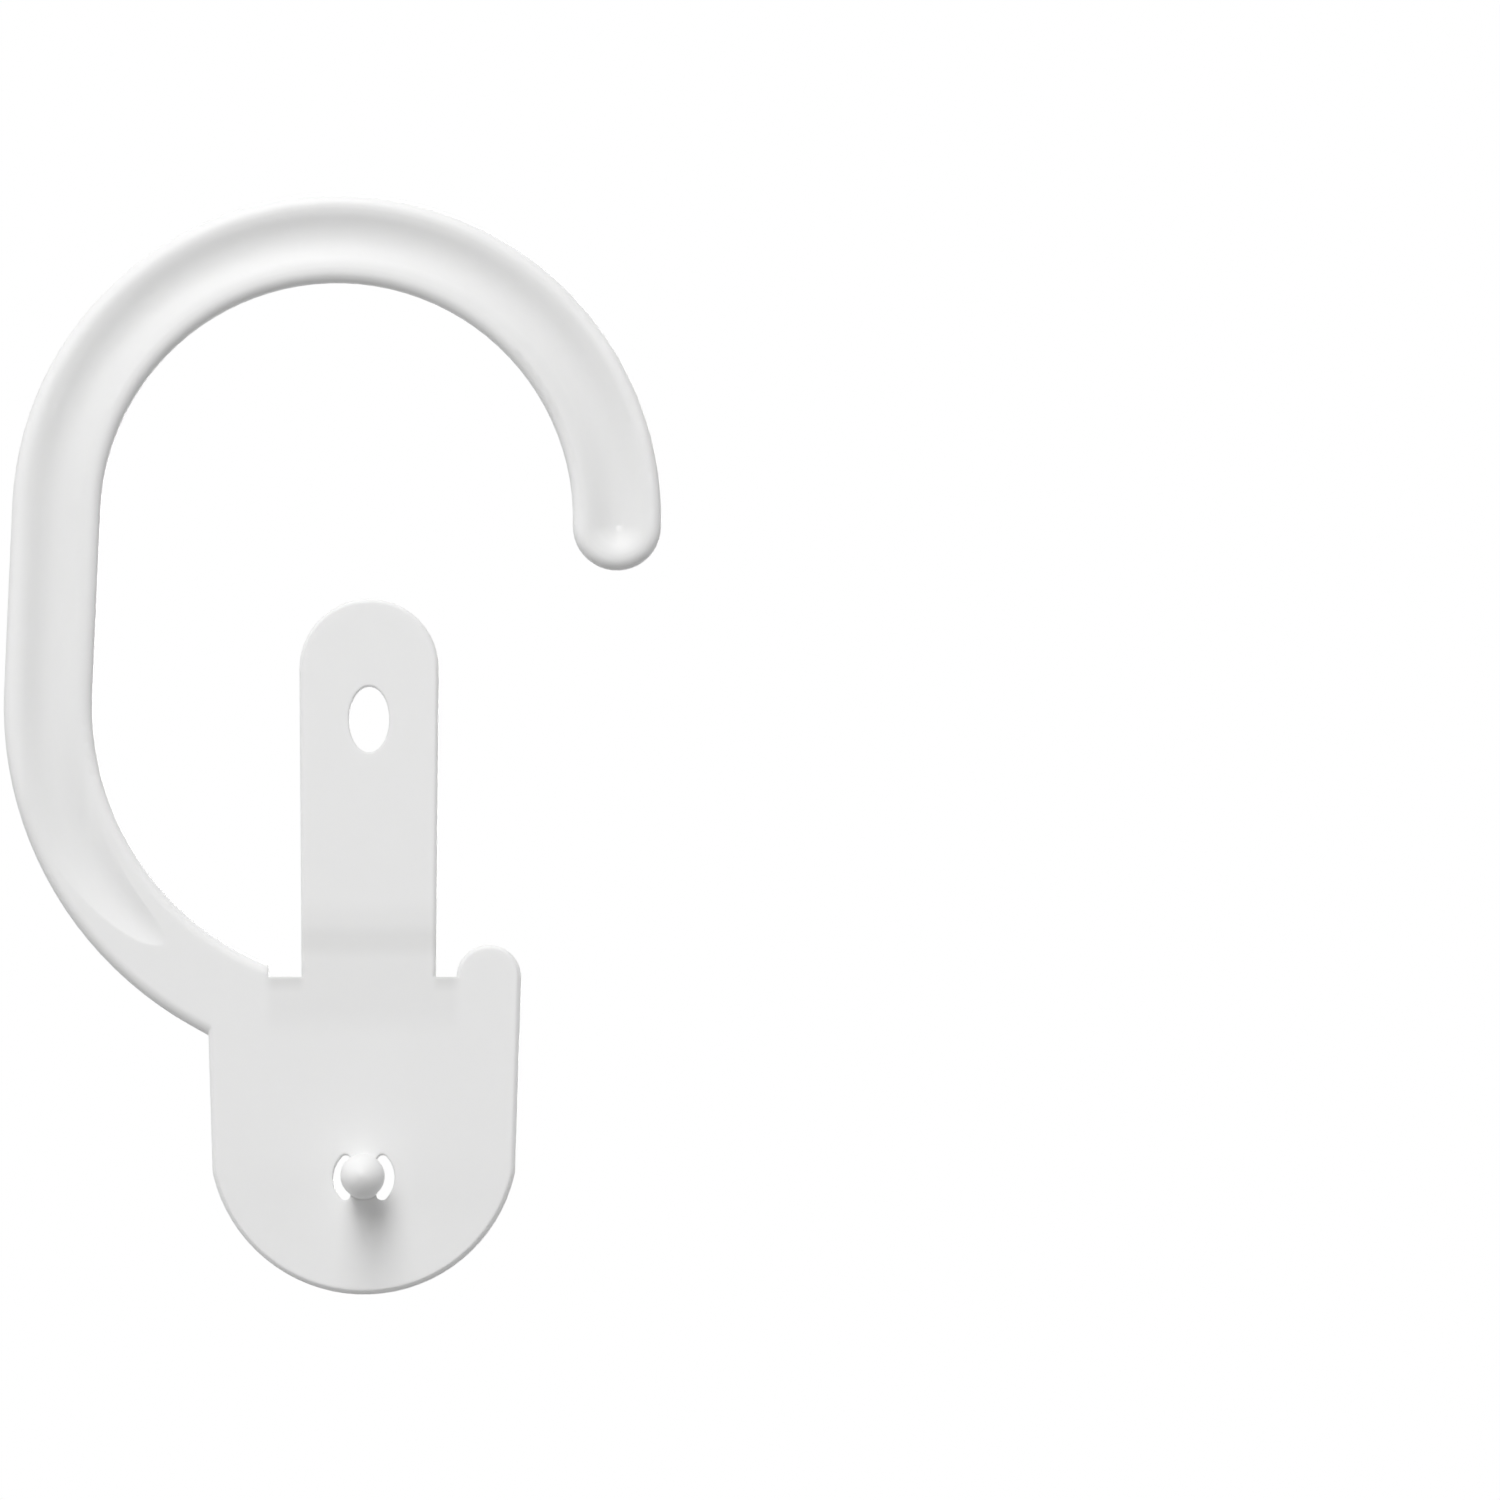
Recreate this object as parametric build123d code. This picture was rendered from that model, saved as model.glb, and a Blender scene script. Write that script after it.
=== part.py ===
from build123d import *
import math
import os

# Curtain hook moulded in one piece, in millimetres.
# +Z is up and the front faces -Y. The origin is the middle of the rod that the crook hangs on,
# at the middle of the bar's thickness. Angles are in degrees from +X towards +Z.

# Rod and bar of the crook
ROD_R = 16.0  # thickest rod
ROD_CLEARANCE = 1.25
BAR_WIDTH = 6.45
THICKNESS = 2.8  # bar, root, plate and ear
TIP_ANGLE = -1.6  # the crook ends here in a half round
SHANK_LEAN = 2.38  # outwards on the way down
SHANK_LENGTH = 13.6
BEND_INNER_R = 20.3  # bend below the shank
BEND_END = 241.0  # from here the outer side runs straight into the plate
BAR_FRONT_EDGE_R = 0.8
BAR_BACK_EDGE_R = 1.2

# Shallow channel moulded into both faces of the bar
CHANNEL_DEPTH = 0.5
CHANNEL_FLOOR_SHARE = 0.6  # of the two radii that make up the wall's S-curve
CHANNEL_LAND = 0.1  # flat between the channel and the rounded edge
RUN_OUT_ANGLE = 206.0  # where the channel starts to rise out of the bend
RUN_OUT_LENGTH = 9.5
RUN_OUT_R = 18.0  # tighter than the bend, so the channel drifts to its inner side
RUN_OUT_SPARE = 1.5  # the cutter turns on by this share, until it is clear of the surface

# Plate with its ear
CENTRE_X = 2.05  # centre line of plate and peg
NOTCH_Z = -33.55  # top edge of the plate between root, strap and ear
PLATE_HALF = 11.45  # half width at the notches
PLATE_TAPER = 0.45  # narrower by this on each side where the round begins
PLATE_SIDE = 14.2  # from the notches down to where the round begins
PLATE_BULGE = 0.25  # the round's radius is larger than the half width there by this
PLATE_CORNER_R = 2.0
PLATE_FRONT_EDGE = 0.25
PLATE_BACK_EDGE = 0.5
EAR_R = 2.35
ROOT_SIDE_X = -4.9  # side of the root that faces the strap

# Strap, thinned at the back and folding forwards on a film at its root
STRAP_SHIFT = 0.35  # from the plate's centre line to the strap's, taken up by its spring
STRAP_WIDTH = 10.15  # at the slot
STRAP_TAPER = 0.2  # narrower by this on each side at the notches
STRAP_THICKNESS = 2.2
STRAP_EDGE = 0.2
STRAP_END = 8.8  # from the slot's centre to the strap's end
THIN_THICKNESS = 1.2
THIN_HEIGHT = 5.4  # from the notches up to the middle of the step
STEP_RUN = 0.9
STEP_FOOT_R = 0.5
HINGE_HEIGHT = 2.75  # from the notches up to the film
FILM_THICKNESS = 0.45
GROOVE_R = 0.6
GROOVE_LIP_R = 0.2

# Ramp behind the notches, where the back of the plate slopes down to the strap
RAMP_HEIGHT = 4.1
RAMP_LIP = 0.35  # thickness left at the notches
RAMP_CREST_R = 2.7
RAMP_WALL_DRAFT = 15.0

# Snap peg
PEG_DROP = 14.6  # from the notches down to the peg
PEG_R = 1.6
NECK_WIDTH = 1.9  # also the bridge between the two slits
NECK_LENGTH = 2.6
PEG_BAND = 1.2  # straight part of the head
PEG_NOSE = 1.9
PEG_TIP_R = 0.7
SLIT_CLEARANCE = 0.65  # from the head's side to the slits' outer wall
SLIT_CORNER_R = 0.4
SLIT_BACK_EDGE = 0.25

# Slot that snaps over the peg when the strap is folded, in a round recess
FOLD_TAKE_UP = 1.3  # length lost in the fold
SNAP_BITE = 0.25  # by how much the head is wider than the slot
SLOT_PLAY = 1.65
RECESS_CLEARANCE = 0.9
RECESS_FLARE = 1.0
RECESS_DEPTH = 0.9
RECESS_EDGE = 0.3

# Cutters stand this far proud of what they cut
MARGIN = 1.0
# Rounded cutter shoulders stop this far above the surface, so that they cross it cleanly
CREST_LIFT = 0.003

FRONT = Vector(0, -1, 0)
CROOK_CENTRE = Vector(0, 0, 0)
BAR_R = ROD_R + ROD_CLEARANCE + BAR_WIDTH / 2
BEND_R = BEND_INNER_R + BAR_WIDTH / 2
SHANK_ANGLE = 180 - SHANK_LEAN


def outward(angle):
    """Unit vector away from a bend's centre."""
    return Vector(math.cos(math.radians(angle)), 0, math.sin(math.radians(angle)))


def onward(angle):
    """Unit vector along the bar, from the tip towards the plate."""
    return FRONT.cross(outward(angle))


TIP_CENTRE = CROOK_CENTRE + outward(TIP_ANGLE) * BAR_R
SHANK_FOOT = CROOK_CENTRE + outward(SHANK_ANGLE) * BAR_R + onward(SHANK_ANGLE) * SHANK_LENGTH
BEND_CENTRE = SHANK_FOOT - outward(SHANK_ANGLE) * BEND_R
STRAP_X = CENTRE_X + STRAP_SHIFT
PEG_Z = NOTCH_Z - PEG_DROP
HINGE_Z = NOTCH_Z + HINGE_HEIGHT
SLOT_Z = 2 * HINGE_Z - PEG_Z - FOLD_TAKE_UP


def across(centre, radius, angle, level=0.0):
    """Plane across the bar: x away from the bend's centre, y to the front, at a level in y."""
    origin = centre + outward(angle) * radius + FRONT * level
    return Plane(origin=origin, x_dir=outward(angle), z_dir=outward(angle).cross(FRONT))


def follow_bar(section, level, last_angle):
    """Solid that carries a section along the crook, the shank and the lower bend."""
    crook = revolve(
        across(CROOK_CENTRE, BAR_R, TIP_ANGLE, level) * section,
        Axis(CROOK_CENTRE, FRONT),
        SHANK_ANGLE - TIP_ANGLE,
    )
    shank = extrude(
        across(CROOK_CENTRE, BAR_R, SHANK_ANGLE, level) * section,
        SHANK_LENGTH,
        dir=onward(SHANK_ANGLE),
    )
    bend = revolve(
        across(BEND_CENTRE, BEND_R, SHANK_ANGLE, level) * section,
        Axis(BEND_CENTRE, FRONT),
        last_angle - SHANK_ANGLE,
    )
    return crook + shank + bend


def round_the_tip(section, level):
    """Half turn of a section's outer half about the middle of the tip."""
    outer_half = section & Pos(BAR_WIDTH, 0) * Rectangle(2 * BAR_WIDTH, 4 * THICKNESS)
    start = across(CROOK_CENTRE, BAR_R, TIP_ANGLE, level) * outer_half
    return revolve(start, Axis(TIP_CENTRE, -FRONT), 180)


def channel_section(edge_r):
    """Channel profile below y = 0: a floor arc between two shoulder arcs, closed by a lid."""
    half = BAR_WIDTH / 2 - edge_r - CHANNEL_LAND
    rise = CHANNEL_DEPTH + CREST_LIFT
    both_radii = (half**2 + rise**2) / (2 * rise)
    floor_r = CHANNEL_FLOOR_SHARE * both_radii
    lean = math.degrees(math.asin(half / both_radii))
    near = JernArc((-half, CREST_LIFT), (1, 0), both_radii - floor_r, -lean)
    floor = JernArc(near @ 1, near % 1, floor_r, 2 * lean)
    far = JernArc(floor @ 1, floor % 1, both_radii - floor_r, -lean)
    lid = Polyline(far @ 1, (half, MARGIN), (-half, MARGIN), near @ 0)
    return make_face(near + floor + far + lid)


def run_out(section):
    """End of the channel, on a tighter and tipped circle that climbs out of the surface."""
    turn = math.degrees(RUN_OUT_LENGTH / RUN_OUT_R)
    climb = RUN_OUT_R * (1 - math.cos(math.radians(turn)))
    tip = math.asin(CHANNEL_DEPTH / climb)
    side = outward(RUN_OUT_ANGLE)
    start = BEND_CENTRE + side * BEND_R + FRONT * (THICKNESS / 2)
    centre = start + (FRONT * math.sin(tip) - side * math.cos(tip)) * RUN_OUT_R
    axis = Axis(centre, FRONT * math.cos(tip) + side * math.sin(tip))
    plane = across(BEND_CENTRE, BEND_R, RUN_OUT_ANGLE, THICKNESS / 2)
    return revolve(plane * section, axis, RUN_OUT_SPARE * turn)


def front_channel(edge_r):
    """Cutter for the channel in the front, from the dish at the tip to its run-out."""
    section = channel_section(edge_r)
    level = THICKNESS / 2
    return follow_bar(section, level, RUN_OUT_ANGLE) + round_the_tip(section, level) + run_out(section)


def slab(face, thickness):
    """Solid of this thickness behind the front face."""
    return extrude(Plane.XZ.offset(THICKNESS / 2 - thickness) * face, thickness)


def front_edges(solid):
    return solid.faces().sort_by(Axis.Y)[0].edges()


def back_edges(solid):
    return solid.faces().sort_by(Axis.Y)[-1].edges()


def bar_outline():
    """Crook, shank, lower bend and root, closed by two straight sides inside the plate."""
    half = BAR_WIDTH / 2
    inner_end = 360 - math.degrees(math.acos((ROOT_SIDE_X - BEND_CENTRE.X) / BEND_INNER_R))
    bend = (BEND_CENTRE.X, BEND_CENTRE.Z)
    crook = (CROOK_CENTRE.X, CROOK_CENTRE.Z)
    outer_crook = CenterArc(crook, BAR_R + half, TIP_ANGLE, SHANK_ANGLE - TIP_ANGLE)
    inner_crook = CenterArc(crook, BAR_R - half, TIP_ANGLE, SHANK_ANGLE - TIP_ANGLE)
    outer_bend = CenterArc(bend, BEND_R + half, SHANK_ANGLE, BEND_END - SHANK_ANGLE)
    inner_bend = CenterArc(bend, BEND_R - half, SHANK_ANGLE, inner_end - SHANK_ANGLE)
    tip = CenterArc((TIP_CENTRE.X, TIP_CENTRE.Z), half, TIP_ANGLE - 180, 180)
    straight = outer_bend % 1
    reach = (CENTRE_X - PLATE_HALF + EAR_R - (outer_bend @ 1).X) / straight.X
    foot = outer_bend @ 1 + straight * reach
    return make_face(
        outer_crook
        + Line(outer_crook @ 1, outer_bend @ 0)
        + outer_bend
        + Polyline(outer_bend @ 1, foot, (ROOT_SIDE_X, foot.Y), inner_bend @ 1)
        + inner_bend
        + Line(inner_bend @ 0, inner_crook @ 1)
        + inner_crook
        + tip
    )


def bar():
    """Bar from the tip to the root, with its edges rounded where they don't end inside the plate."""
    body = slab(bar_outline(), THICKNESS)
    low_z = body.bounding_box().min.Z
    for pick, radius in ((front_edges, BAR_FRONT_EDGE_R), (back_edges, BAR_BACK_EDGE_R)):
        edges = pick(body)
        corner = Vector(ROOT_SIDE_X, edges[0].center().Y, low_z)
        body = fillet([edge for edge in edges if edge.distance_to(corner) > MARGIN], radius)
    return body


def plate_outline():
    """Plate from the notches down, with the ear as a half round on its top."""
    left = CENTRE_X - PLATE_HALF
    right = CENTRE_X + PLATE_HALF
    low_half = PLATE_HALF - PLATE_TAPER
    round_r = low_half + PLATE_BULGE
    corner_z = NOTCH_Z - PLATE_SIDE
    bottom_z = corner_z + math.sqrt(round_r**2 - low_half**2) - round_r
    top = Line((left, NOTCH_Z), (right - 2 * EAR_R, NOTCH_Z))
    ear = ThreePointArc(top @ 1, (right - EAR_R, NOTCH_Z + EAR_R), (right, NOTCH_Z))
    right_side = Line(ear @ 1, (CENTRE_X + low_half, corner_z))
    bottom = ThreePointArc(right_side @ 1, (CENTRE_X, bottom_z), (CENTRE_X - low_half, corner_z))
    left_side = Line(bottom @ 1, top @ 0)
    face = make_face(top + ear + right_side + bottom + left_side)
    return fillet(face.vertices().sort_by(Axis.Y)[:2], PLATE_CORNER_R)


def below_the_notches(edges):
    """All but the straight edge at the notches."""
    return edges.filter_by(lambda edge: abs(edge.center().Z - NOTCH_Z) > CREST_LIFT)


def plate():
    """Plate and ear with broken edges and the ramp behind the notches."""
    body = slab(plate_outline(), THICKNESS)
    body = chamfer(below_the_notches(front_edges(body)), PLATE_FRONT_EDGE)
    body = chamfer(below_the_notches(back_edges(body)), PLATE_BACK_EDGE)
    return body - ramp_cutter()


def ramp_cutter():
    """Wedge with drafted side walls, and an arc where it meets the back of the plate."""
    back = THICKNESS / 2
    slope = math.atan((THICKNESS - RAMP_LIP) / RAMP_HEIGHT)
    crest_run = RAMP_CREST_R * math.tan(slope / 2)
    crest_z = NOTCH_Z - RAMP_HEIGHT - crest_run
    crest = JernArc((back + CREST_LIFT, crest_z), (0, 1), RAMP_CREST_R, math.degrees(slope))
    length = RAMP_HEIGHT + MARGIN
    top = crest @ 1 + Vector(-math.sin(slope), math.cos(slope)) * length
    lid = Polyline(crest @ 1, top, (back + MARGIN, top.Y), (back + MARGIN, crest_z), crest @ 0)
    wedge = extrude(Plane.YZ * make_face(crest + lid), 2 * PLATE_HALF, both=True)
    left = ROOT_SIDE_X
    right = CENTRE_X + PLATE_HALF - 2 * EAR_R
    window = Pos((left + right) / 2, NOTCH_Z) * Rectangle(right - left, 4 * RAMP_HEIGHT)
    walls = extrude(Plane.XZ.offset(-back) * window, THICKNESS, taper=RAMP_WALL_DRAFT)
    above = extrude(Plane.XZ.offset(-back) * window, -2 * MARGIN)
    return wedge & (walls + above)


def thinning():
    """Cutter that thins the strap's root at the back, with the step and the film's groove."""
    thin_y = THIN_THICKNESS - THICKNESS / 2
    strap_y = STRAP_THICKNESS - THICKNESS / 2
    step_z = NOTCH_Z + THIN_HEIGHT
    rise = (strap_y - thin_y) / STEP_RUN
    face = make_face(
        Polyline(
            (thin_y, NOTCH_Z - RAMP_HEIGHT),
            (thin_y, step_z - STEP_RUN / 2),
            (strap_y + MARGIN * rise, step_z + STEP_RUN / 2 + MARGIN),
            (strap_y + 2 * MARGIN, step_z + STEP_RUN / 2 + MARGIN),
            (strap_y + 2 * MARGIN, NOTCH_Z - RAMP_HEIGHT),
            close=True,
        )
    )
    foot = Vector(thin_y, step_z - STEP_RUN / 2, 0)
    face = fillet(face.vertices().sort_by_distance(foot)[0], STEP_FOOT_R)
    groove_y = FILM_THICKNESS + GROOVE_R - THICKNESS / 2
    face += Pos(groove_y, HINGE_Z) * Circle(GROOVE_R)
    lips = [v for v in face.vertices() if abs(v.Y - HINGE_Z) <= GROOVE_R and abs(v.X - thin_y) < GROOVE_R / 2]
    face = fillet(lips, GROOVE_LIP_R)
    return Pos(STRAP_X, 0, 0) * extrude(Plane.YZ * face, STRAP_WIDTH, both=True)


def recess():
    """Round recess in the back of the strap, with sloping walls."""
    floor_r = PEG_R + RECESS_CLEARANCE
    strap_y = STRAP_THICKNESS - THICKNESS / 2
    slope = RECESS_FLARE / RECESS_DEPTH
    profile = Polyline(
        (0, strap_y - RECESS_DEPTH),
        (floor_r, strap_y - RECESS_DEPTH),
        (floor_r + slope * (RECESS_DEPTH + MARGIN), strap_y + MARGIN),
        (0, strap_y + MARGIN),
        close=True,
    )
    cone = revolve(make_face(profile), Axis.Y)
    return Pos(STRAP_X, 0, SLOT_Z) * cone


def recess_rim(body):
    """The closed circle where the recess opens in the back of the strap."""
    circles = body.edges().filter_by(GeomType.CIRCLE).filter_by(lambda edge: edge.is_closed)
    return circles.sort_by(Axis.Y)[-1]


def strap():
    """Strap with round end, slot and recess, thinned at its root."""
    half = STRAP_WIDTH / 2
    foot_half = half - STRAP_TAPER
    foot_z = NOTCH_Z - RAMP_HEIGHT / 2
    round_z = SLOT_Z + STRAP_END - half
    end = ThreePointArc((STRAP_X + half, round_z), (STRAP_X, round_z + half), (STRAP_X - half, round_z))
    sides = Polyline(end @ 1, (STRAP_X - foot_half, foot_z), (STRAP_X + foot_half, foot_z), end @ 0)
    body = slab(make_face(end + sides), STRAP_THICKNESS)
    body = chamfer(front_edges(body), STRAP_EDGE)
    body = chamfer(back_edges(body), STRAP_EDGE)
    body -= recess()
    body = chamfer(recess_rim(body), RECESS_EDGE)
    body -= thinning()
    slot_width = 2 * PEG_R - SNAP_BITE
    slot_height = 2 * PEG_R + SLOT_PLAY
    slot = Pos(STRAP_X, SLOT_Z) * Ellipse(slot_width / 2, slot_height / 2)
    return body - slab(slot, THICKNESS)


def slits():
    """Two openings beside the neck, right through the plate, that form the head's underside."""
    bridge = Rectangle(NECK_WIDTH, 4 * PEG_R)
    face = Circle(PEG_R + SLIT_CLEARANCE) - bridge
    face = fillet(face.vertices(), SLIT_CORNER_R)
    return slab(Pos(CENTRE_X, PEG_Z) * face, THICKNESS)


def slit_rims(body):
    """The slits' edges at the back of the plate."""
    centre = Vector(CENTRE_X, THICKNESS / 2, PEG_Z)
    return back_edges(body).filter_by(lambda edge: edge.distance_to(centre) < 2 * PEG_R)


def peg():
    """Snap peg: a neck between two flats, and a round head that narrows to a blunt tip."""
    neck = extrude(Circle(PEG_R) & Rectangle(NECK_WIDTH, 2 * PEG_R), NECK_LENGTH)
    tip_height = PEG_NOSE - PEG_TIP_R
    flank_r = (tip_height**2 + PEG_R**2 - PEG_TIP_R**2) / (2 * (PEG_R - PEG_TIP_R))
    turn = math.degrees(math.asin(tip_height / (flank_r - PEG_TIP_R)))
    band = Line((PEG_R, 0), (PEG_R, PEG_BAND))
    flank = CenterArc((PEG_R - flank_r, PEG_BAND), flank_r, 0, turn)
    tip = CenterArc((0, PEG_BAND + tip_height), PEG_TIP_R, turn, 90 - turn)
    rest = Polyline(tip @ 1, (0, 0), band @ 0)
    head = revolve(Plane.XZ * make_face(band + flank + tip + rest), Axis.Z)
    upright = neck + Pos(0, 0, NECK_LENGTH) * head
    return Plane(origin=(CENTRE_X, -THICKNESS / 2, PEG_Z), x_dir=(1, 0, 0), z_dir=FRONT) * upright


def curtain_hook():
    body = bar() + plate() + strap() + peg()
    body -= front_channel(BAR_FRONT_EDGE_R)
    body -= mirror(front_channel(BAR_BACK_EDGE_R), Plane.XZ)
    body -= slits()
    return chamfer(slit_rims(body), SLIT_BACK_EDGE)


os.makedirs("parts", exist_ok=True)
hook = curtain_hook()
hook.label = "curtain_hook"
export_step(hook, "parts/curtain_hook.step")
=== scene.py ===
import math

import bpy
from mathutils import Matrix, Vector


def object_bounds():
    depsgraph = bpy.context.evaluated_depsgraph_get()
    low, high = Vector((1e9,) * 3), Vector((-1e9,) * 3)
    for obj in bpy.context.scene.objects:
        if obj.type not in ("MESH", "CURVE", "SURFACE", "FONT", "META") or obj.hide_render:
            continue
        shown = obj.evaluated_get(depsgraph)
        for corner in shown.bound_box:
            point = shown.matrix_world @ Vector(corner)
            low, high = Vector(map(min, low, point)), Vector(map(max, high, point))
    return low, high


# White moulded curtain hook, seen from its front as it hangs on a rod.
# Metres, +Z up, front towards -Y, with the origin in the middle of the rod.

MM = 0.001

# Framing
IMAGE = 1500  # pixels, square
PIXEL = 0.0729 * MM  # of the hook for each pixel, at the front of the plate
ROD_PIXEL = (336.0, 516.8)  # where the middle of the rod is in the frame
LENS = 400.0  # mm
SENSOR = 36.0  # mm
CAMERA_ELEVATION = -3.0  # degrees, seen slightly from below
FACE_Y = -1.4 * MM  # front of the bar and the plate

# Lamps: the way from the hook to each, metres and watts
FRONT_KEY = (-0.152, -0.715, 0.682)
BACK_KEY = (0.15, 0.862, 0.483)
KEY_DISTANCE = 1.2
KEY_WIDTH = 0.5
KEY_HEIGHT = 1.3
FRONT_POWER = 13.4
BACK_POWER = 10.0

# Soft light from all round
HORIZON = 0.12  # from level with the hook
ZENITH = 0.10  # from straight above
LEFT_FILL = 0.05  # more from the left than from the right
SIDE_FILL = 1.25  # pale walls far to the left and to the right
SIDE_FALLOFF = 4.0  # power of the fade from those walls to the front

# Floor and background
BACKGROUND = (1.0, 1.0, 1.0, 1.0)
FLOOR_DROP = 62 * MM  # from the hook's lowest point
FLOOR_SIZE = 3.0
FLOOR_BOUNCE = 0.34  # shade as the hook is lit by it
FLOOR_PALE = 0.9  # shade as it is seen, which carries the shadow
FLOOR_GLOW = 0.75  # share of plain white in what is seen

# Plastic
WHITE = (0.88, 0.88, 0.877, 1.0)
CLOUD_WHITE = (0.87, 0.87, 0.868, 1.0)
# Painted shade: grey mixed in so the thin places and the channel look darker
PAINTED_SHADE_GREY = (0.62, 0.62, 0.615, 1.0)
REFRACTION = 1.49
SPECULAR_LEVEL = 0.3
ROUGHNESS = 0.42
ROUGHNESS_SPREAD = 0.08
SCATTER = 0.25
SCATTER_DEPTH = 0.6 * MM
SCATTER_REACH = (1.0, 1.0, 0.95)  # of red, green and blue, in scatter depths
EDGE_SOFTNESS = 0.25 * MM  # radius that the moulded edges seem to have
BUMP_STRENGTH = 0.3
BUMP_DISTANCE = 0.02 * MM
GRAIN_BUMP = 0.3  # beside 1 for the flow marks

# Sizes of the unevenness, in millimetres
GRAIN = 0.35
GRAIN_DETAIL = 3.0
FLOW = 3.5
CLOUD = 9.0

# Places on the hook, in millimetres
STRAP_MIDDLE = 2.4
HINGE_Z = -30.9  # film that the strap folds on

# Fades, in millimetres: where each starts from nothing, and where it is full
RAMP_LEFT = (-5.4, -4.4)
RAMP_RIGHT = (9.3, 8.3)
ROOT_TOP = (-27.6, -29.6)  # on the strap
ROOT_BOTTOM = (-38.4, -35.6)  # on the plate
FILM_SIDE = (1.5, 0.2)  # above and below HINGE_Z
NOTCH_BOTTOM = (-34.85, -33.55)  # up to the plate's top edge beside the strap
NOTCH_TOP = (-32.55, -33.05)
STRAP_SIDE = (4.5, 5.2)  # to the left and to the right of STRAP_MIDDLE
CHANNEL_INNER = (17.8, 18.6)  # from the middle of the rod
CHANNEL_OUTER = (23.2, 22.4)
CHANNEL_END = (-27.0, -21.0)
FRONT_FACE = (-1.15, -1.3)
BACK_FACE = (0.7, 1.1)

# How much painted shade the thin places and the channel get: shares of the painted shade grey
ROOT_SHARE = 0.14
FILM_SHARE = 0.22
NOTCH_SHARE = 0.40
CHANNEL_SHARE = 0.12
BACK_SHARE = 0.4  # what is left of them away from the front face, apart from the channel

# Marks of the mould on the back: middle, rim as a fade, and depth in bump distances
GATE_MARK = (-15.9, 13.8)
GATE_RIM = (0.45, 0.15)
GATE_DEPTH = 8.0
TIP_DIMPLE = (20.2, 1.6)
TIP_RIM = (1.2, 0.3)
TIP_DEPTH = 16.0
PLATE_CRESCENT = (2.4, -39.9)  # middle of the arc that the crescent lies on
CRESCENT_RADIUS = 1.9
CRESCENT_RIM = (0.6, 0.1)  # inside and outside the arc
CRESCENT_TOP = (-40.8, -41.5)
CRESCENT_DEPTH = 9.0

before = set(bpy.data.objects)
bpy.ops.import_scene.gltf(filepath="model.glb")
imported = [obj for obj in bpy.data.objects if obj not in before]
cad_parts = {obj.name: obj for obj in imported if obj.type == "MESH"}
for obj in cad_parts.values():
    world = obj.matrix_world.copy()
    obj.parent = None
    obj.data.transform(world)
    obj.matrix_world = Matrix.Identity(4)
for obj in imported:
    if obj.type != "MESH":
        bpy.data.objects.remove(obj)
cad_low, cad_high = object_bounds()
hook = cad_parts["curtain_hook"]
scene = bpy.context.scene


class Socket:
    """A value on its way through a node tree, with Python's arithmetic as Math nodes."""

    def __init__(self, nodes, slot):
        self.nodes = nodes
        self.slot = slot

    def _math(self, operation, first, second=0.0):
        inputs = {"Value": first, "Value_001": second}
        return self.nodes.add("ShaderNodeMath", {"operation": operation}, inputs)["Value"]

    def __add__(self, other):
        return self._math("ADD", self, other)

    def __radd__(self, other):
        return self._math("ADD", other, self)

    def __sub__(self, other):
        return self._math("SUBTRACT", self, other)

    def __rsub__(self, other):
        return self._math("SUBTRACT", other, self)

    def __mul__(self, other):
        return self._math("MULTIPLY", self, other)

    def __rmul__(self, other):
        return self._math("MULTIPLY", other, self)

    def __pow__(self, other):
        return self._math("POWER", self, other)

    def __abs__(self):
        return self._math("ABSOLUTE", self)


class Nodes:
    """A material's or the world's node tree. One call adds one node."""

    def __init__(self, owner):
        owner.use_nodes = True
        self.tree = owner.node_tree
        self.tree.nodes.clear()

    def add(self, kind, settings=None, inputs=None):
        """Node with its settings first, then its inputs by identifier. Gives its outputs by identifier."""
        node = self.tree.nodes.new(kind)
        for name, value in (settings or {}).items():
            setattr(node, name, value)
        slots = {slot.identifier: slot for slot in node.inputs}
        for name, value in (inputs or {}).items():
            if isinstance(value, Socket):
                self.tree.links.new(value.slot, slots[name])
            else:
                slots[name].default_value = value
        return {slot.identifier: Socket(self, slot) for slot in node.outputs}

    def fade(self, value, start, end):
        """0 where the value is at start, 1 where it is at end, with a smooth way between them."""
        inputs = {"Value": value, "From Min": start, "From Max": end}
        return self.add("ShaderNodeMapRange", {"interpolation_type": "SMOOTHSTEP"}, inputs)["Result"]

    def blend(self, share, first, second):
        """Mix of two colours."""
        inputs = {"Factor_Float": share, "A_Color": first, "B_Color": second}
        return self.add("ShaderNodeMix", {"data_type": "RGBA"}, inputs)["Result_Color"]

    def choose(self, share, first, second):
        """Mix of two shaders."""
        inputs = {"Fac": share, "Shader": first, "Shader_001": second}
        return self.add("ShaderNodeMixShader", {}, inputs)["Shader"]

    def seen_directly(self):
        """1 for rays from the camera and for those that a reflection or a refraction sends on."""
        path = self.add("ShaderNodeLightPath")
        return path["Is Camera Ray"] + path["Is Glossy Ray"] + path["Is Transmission Ray"]


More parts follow.
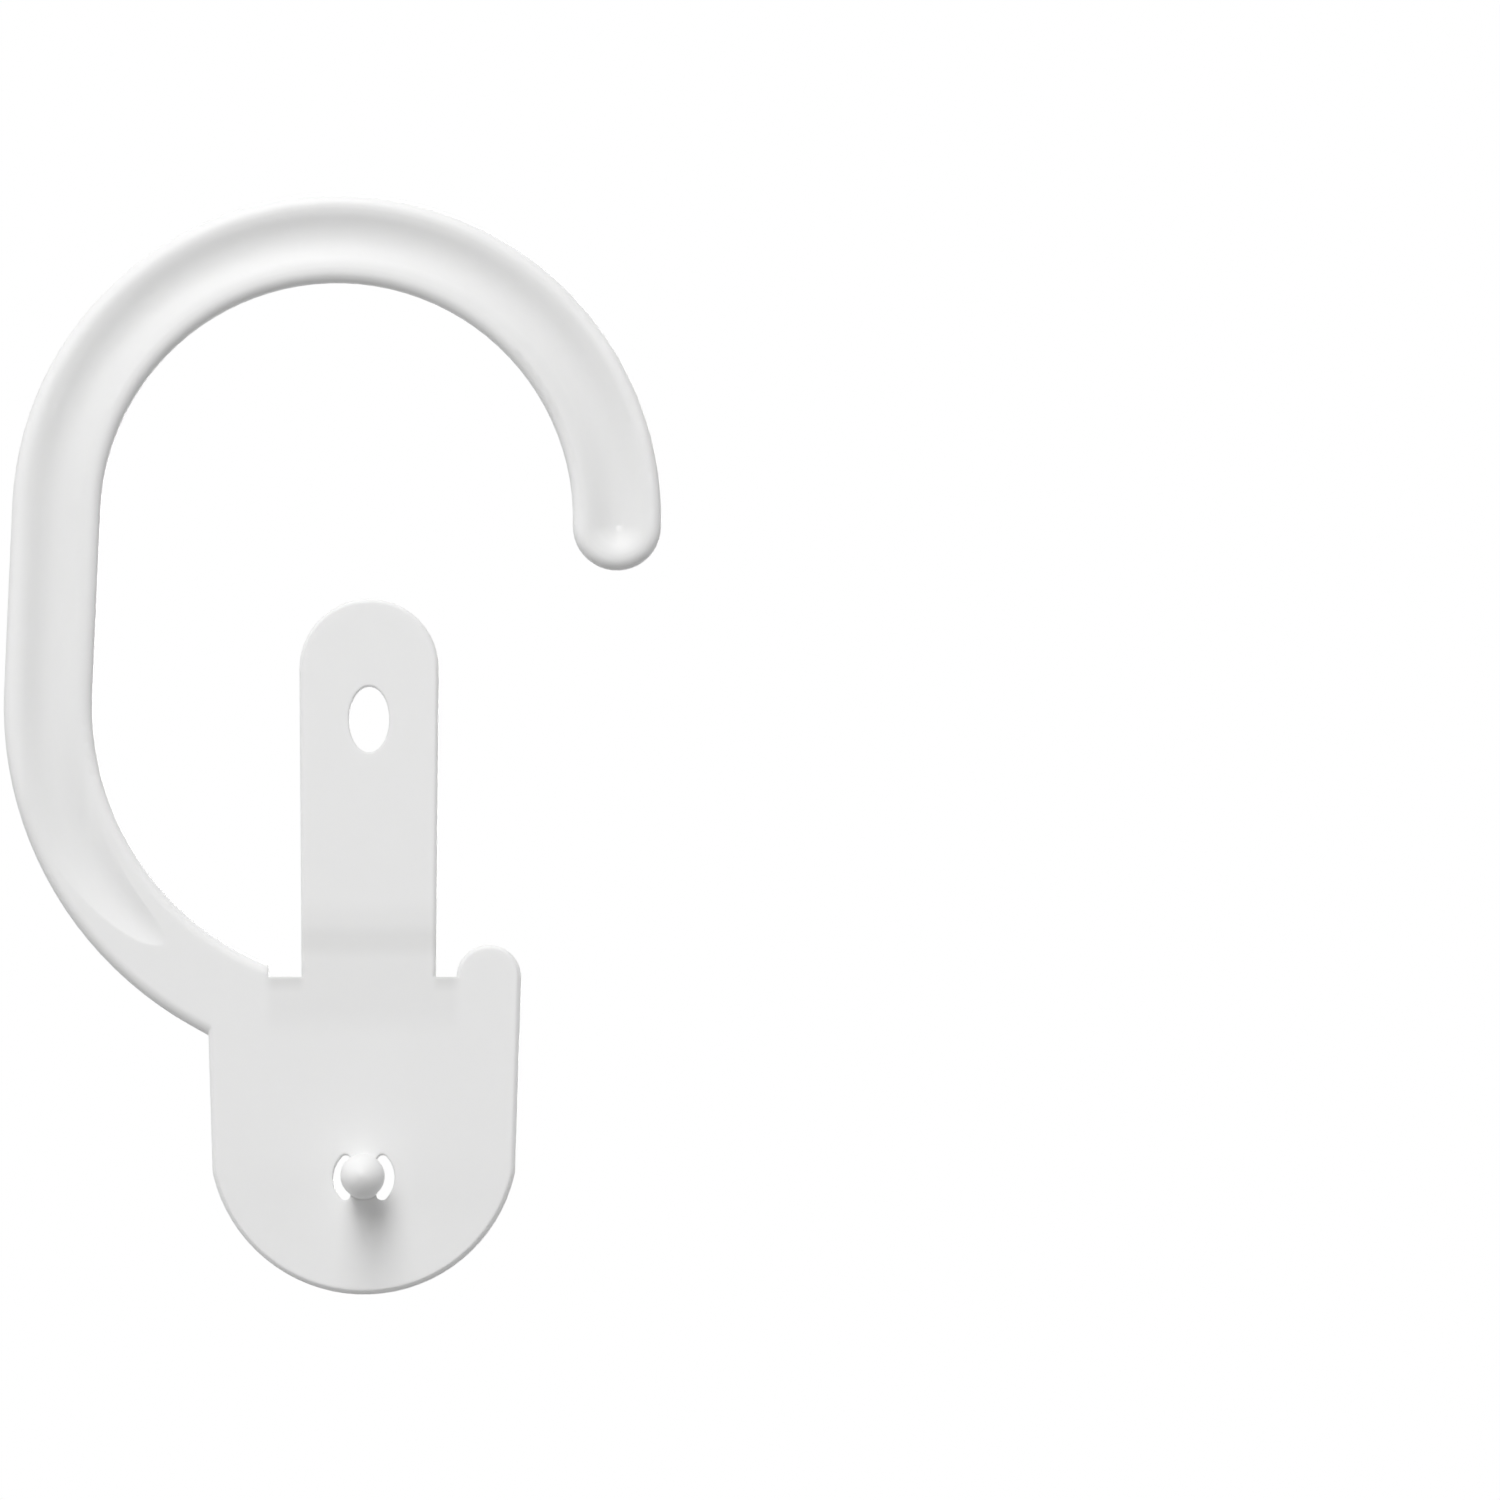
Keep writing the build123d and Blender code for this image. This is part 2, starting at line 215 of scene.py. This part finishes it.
class HookPlaces(Nodes):
    """Node tree that knows where it is on the hook, in millimetres."""

    def __init__(self, owner):
        super().__init__(owner)
        self.place = self.add("ShaderNodeTexCoord")["Object"]
        axes = self.add("ShaderNodeSeparateXYZ", {}, {"Vector": self.place})
        self.x = axes["X"] * (1 / MM)
        self.y = axes["Y"] * (1 / MM)
        self.z = axes["Z"] * (1 / MM)

    def distance(self, spot):
        """Distance from a line along Y through this x and z."""
        across = self.x - spot[0]
        up = self.z - spot[1]
        return (across * across + up * up) ** 0.5

    def distance_along_bar(self):
        """Distance from the middle of the rod above it, and from the upright through it below."""
        inputs = {"Value": self.z, "Value_001": 0.0}
        above = self.add("ShaderNodeMath", {"operation": "MAXIMUM"}, inputs)["Value"]
        return (self.x * self.x + above * above) ** 0.5

    def noise(self, size, detail=2.0):
        """Noise from 0 to 1 with spots of about this size."""
        inputs = {"Vector": self.place, "Scale": 1 / (size * MM), "Detail": detail}
        return self.add("ShaderNodeTexNoise", {}, inputs)["Fac"]


def painted_shade_at_root(at):
    """Painted shade on the strap's root with its film and on the plate's edge at the notches beside it,
    fullest on the front face.
    """
    between_ramp_sides = at.fade(at.x, *RAMP_LEFT) * at.fade(at.x, *RAMP_RIGHT)
    root = at.fade(at.z, *ROOT_TOP) * at.fade(at.z, *ROOT_BOTTOM)
    film = at.fade(abs(at.z - HINGE_Z), *FILM_SIDE)
    notch_edge = at.fade(at.z, *NOTCH_BOTTOM) * at.fade(at.z, *NOTCH_TOP)
    beside_strap = at.fade(abs(at.x - STRAP_MIDDLE), *STRAP_SIDE)
    share = ROOT_SHARE * root + FILM_SHARE * film + NOTCH_SHARE * notch_edge * beside_strap
    on_face = BACK_SHARE + (1 - BACK_SHARE) * at.fade(at.y, *FRONT_FACE)
    return on_face * between_ramp_sides * share


def painted_shade_in_channel(at):
    """Painted shade in the channel along the middle of the bar, down to where it runs out."""
    reach = at.distance_along_bar()
    across = at.fade(reach, *CHANNEL_INNER) * at.fade(reach, *CHANNEL_OUTER)
    return CHANNEL_SHARE * across * at.fade(at.z, *CHANNEL_END)


def moulding_marks(at):
    """Depth of the faint marks that the mould left on the back, in bump distances."""
    gate = GATE_DEPTH * at.fade(at.distance(GATE_MARK), *GATE_RIM)
    dimple = TIP_DEPTH * at.fade(at.distance(TIP_DIMPLE), *TIP_RIM)
    ring = at.fade(abs(at.distance(PLATE_CRESCENT) - CRESCENT_RADIUS), *CRESCENT_RIM)
    crescent = CRESCENT_DEPTH * ring * at.fade(at.z, *CRESCENT_TOP)
    return (gate + dimple + crescent) * at.fade(at.y, *BACK_FACE)


def white_plastic():
    """Satin white polypropylene with painted shade on its thin places and in its channel, and the mould's
    faint unevenness.
    """
    material = bpy.data.materials.new("satin_white_plastic")
    at = HookPlaces(material)
    grain = at.noise(GRAIN, GRAIN_DETAIL)
    shade = at.blend(at.noise(CLOUD), WHITE, CLOUD_WHITE)
    # painted shade: grey mixed in on the thin places and in the channel
    shade = at.blend(painted_shade_in_channel(at) + painted_shade_at_root(at), shade, PAINTED_SHADE_GREY)
    soft_edges = at.add("ShaderNodeBevel", {"samples": 4}, {"Radius": EDGE_SOFTNESS})["Normal"]
    relief = {
        "Strength": BUMP_STRENGTH,
        "Distance": BUMP_DISTANCE,
        "Height": GRAIN_BUMP * grain + at.noise(FLOW) - moulding_marks(at),
        "Normal": soft_edges,
    }
    surface = {
        "Base Color": shade,
        "Roughness": ROUGHNESS + ROUGHNESS_SPREAD * (grain - 0.5),
        "Normal": at.add("ShaderNodeBump", {}, relief)["Normal"],
        "IOR": REFRACTION,
        "Specular IOR Level": SPECULAR_LEVEL,
        "Subsurface Weight": SCATTER,
        "Subsurface Scale": SCATTER_DEPTH,
        "Subsurface Radius": SCATTER_REACH,
    }
    body = at.add("ShaderNodeBsdfPrincipled", {}, surface)["BSDF"]
    at.add("ShaderNodeOutputMaterial", {}, {"Surface": body})
    return material


def pale_floor():
    """Floor that looks white and keeps the hook's shadow, and sends little light back up."""
    material = bpy.data.materials.new("pale_floor")
    nodes = Nodes(material)
    bounce = nodes.add("ShaderNodeBsdfDiffuse", {}, {"Color": (FLOOR_BOUNCE,) * 3 + (1.0,)})["BSDF"]
    pale = nodes.add("ShaderNodeBsdfDiffuse", {}, {"Color": (FLOOR_PALE,) * 3 + (1.0,)})["BSDF"]
    glow = nodes.add("ShaderNodeEmission", {}, {"Color": BACKGROUND, "Strength": 1.0})["Emission"]
    floor = nodes.choose(nodes.seen_directly(), bounce, nodes.choose(FLOOR_GLOW, pale, glow))
    nodes.add("ShaderNodeOutputMaterial", {}, {"Surface": floor})
    return material


def add_floor():
    half = FLOOR_SIZE / 2
    z = cad_low.z - FLOOR_DROP
    corners = [(-half, -half, z), (half, -half, z), (half, half, z), (-half, half, z)]
    mesh = bpy.data.meshes.new("floor")
    mesh.from_pydata(corners, [], [(0, 1, 2, 3)])
    mesh.materials.append(pale_floor())
    floor = bpy.data.objects.new("floor", mesh)
    scene.collection.objects.link(floor)


def add_world():
    """Soft light, strongest from the sides, on a white background."""
    scene.world = bpy.data.worlds.new("studio")
    nodes = Nodes(scene.world)
    direction = nodes.add("ShaderNodeTexCoord")["Generated"]
    axes = nodes.add("ShaderNodeSeparateXYZ", {}, {"Vector": direction})
    strength = HORIZON + (ZENITH - HORIZON) * axes["Z"] - LEFT_FILL * axes["X"]
    strength = strength + SIDE_FILL * axes["X"] ** SIDE_FALLOFF
    soft = nodes.add("ShaderNodeBackground", {}, {"Color": BACKGROUND, "Strength": strength})["Background"]
    white = nodes.add("ShaderNodeBackground", {}, {"Color": BACKGROUND, "Strength": 1.0})["Background"]
    nodes.add("ShaderNodeOutputWorld", {}, {"Surface": nodes.choose(nodes.seen_directly(), soft, white)})


def add_lamp(name, direction, power):
    """Tall soft lamp that stands off in this direction from the hook's middle and faces it."""
    middle = (cad_low + cad_high) / 2
    lamp = bpy.data.objects.new(name, bpy.data.lights.new(name, "AREA"))
    lamp.data.shape = "RECTANGLE"
    lamp.data.size = KEY_WIDTH
    lamp.data.size_y = KEY_HEIGHT
    lamp.data.energy = power
    towards = Vector(direction).normalized()
    lamp.location = middle + towards * KEY_DISTANCE
    lamp.rotation_mode = "QUATERNION"
    lamp.rotation_quaternion = towards.to_track_quat("Z", "Y")
    scene.collection.objects.link(lamp)


def add_camera():
    """Long lens, with the middle of the rod at its place in the frame."""
    camera = bpy.data.objects.new("camera", bpy.data.cameras.new("camera"))
    camera.data.lens = LENS
    camera.data.sensor_width = SENSOR
    right = (IMAGE / 2 - ROD_PIXEL[0]) * PIXEL
    down = (IMAGE / 2 - ROD_PIXEL[1]) * PIXEL
    distance = IMAGE * PIXEL * LENS / SENSOR
    tilt = math.radians(CAMERA_ELEVATION)
    back = Vector((0, -math.cos(tilt), math.sin(tilt)))
    camera.location = Vector((right, FACE_Y, -down)) + back * distance
    camera.rotation_mode = "QUATERNION"
    camera.rotation_quaternion = (-back).to_track_quat("-Z", "Y")
    scene.collection.objects.link(camera)
    scene.camera = camera


hook.data.materials.clear()
hook.data.materials.append(white_plastic())
add_floor()
add_world()
add_lamp("front_key", FRONT_KEY, FRONT_POWER)
add_lamp("back_key", BACK_KEY, BACK_POWER)
add_camera()
scene.view_settings.view_transform = "Standard"
